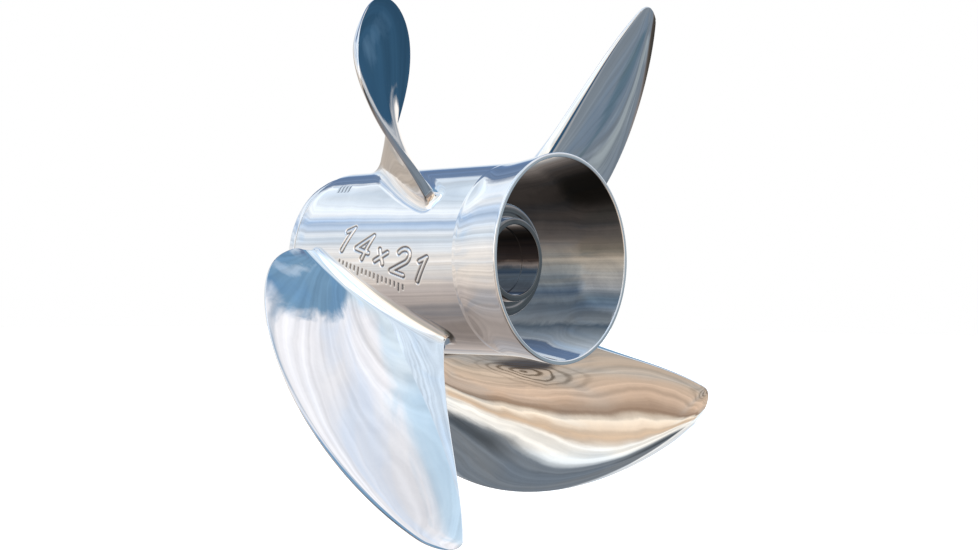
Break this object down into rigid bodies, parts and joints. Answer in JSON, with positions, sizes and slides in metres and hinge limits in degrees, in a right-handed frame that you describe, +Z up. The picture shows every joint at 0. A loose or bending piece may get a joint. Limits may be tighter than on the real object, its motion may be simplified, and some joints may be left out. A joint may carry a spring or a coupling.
{
  "type": "boat propeller",
  "caption": "Right-hand outboard boat propeller with swept blades, an exhaust barrel flared at its rim, and a cushioned splined hub kit.",
  "frame": {"origin": "centre of the shaft bore at its forward end, where the thrust washer seats", "axes": "+Y forward along the shaft axis (the way the boat travels), +Z up, +X to starboard"},
  "size_m": [0.3038, 0.1698, 0.3038],
  "materials": {
    "polished_stainless": "mirror polished",
    "cast_stainless": "bright, slightly satin",
    "sleeve_polymer": "moulded acetal",
    "bronze": "machined",
    "plated_steel": "stainless, machined",
    "nylon": "moulded"
  },
  "bodies": {
    "hub_kit": {"spline_adapter": "bronze", "thrust_washer": "bronze", "aft_spacer": "plated_steel"},
    "casting": {"outer_barrel": "polished_stainless", "inner_hub": "cast_stainless", "exhaust_rib_1": "cast_stainless", "exhaust_rib_2": "cast_stainless", "exhaust_rib_3": "cast_stainless", "exhaust_rib_4": "cast_stainless", "blade_1": "polished_stainless", "blade_2": "polished_stainless", "blade_3": "polished_stainless", "blade_4": "polished_stainless", "drive_sleeve": "sleeve_polymer"},
    "nut_carrier": {"tab_washer": "plated_steel"},
    "nut": {"prop_nut": "plated_steel", "nut_lock_ring": "nylon"}
  },
  "joints": [
    {"name": "hub_twist", "type": "hinge", "parent": "hub_kit", "child": "casting", "pos_m": [0, 0, 0], "axis": [0, 1, 0], "range_deg": [-10, 10], "stiffness_Nm_per_rad": 900},
    {"name": "nut_back_off", "type": "slide", "parent": "hub_kit", "child": "nut_carrier", "axis": [0, -1, 0], "range_m": [0, 0.0127]},
    {"name": "nut_turn", "type": "hinge", "parent": "nut_carrier", "child": "nut", "pos_m": [0, -0.082, 0], "axis": [0, -1, 0], "range_deg": [0, 2880]}
  ],
  "couplings": [
    {"joint": "nut_back_off", "follows": "nut_turn", "m_per_rad": 0.00025266}
  ]
}
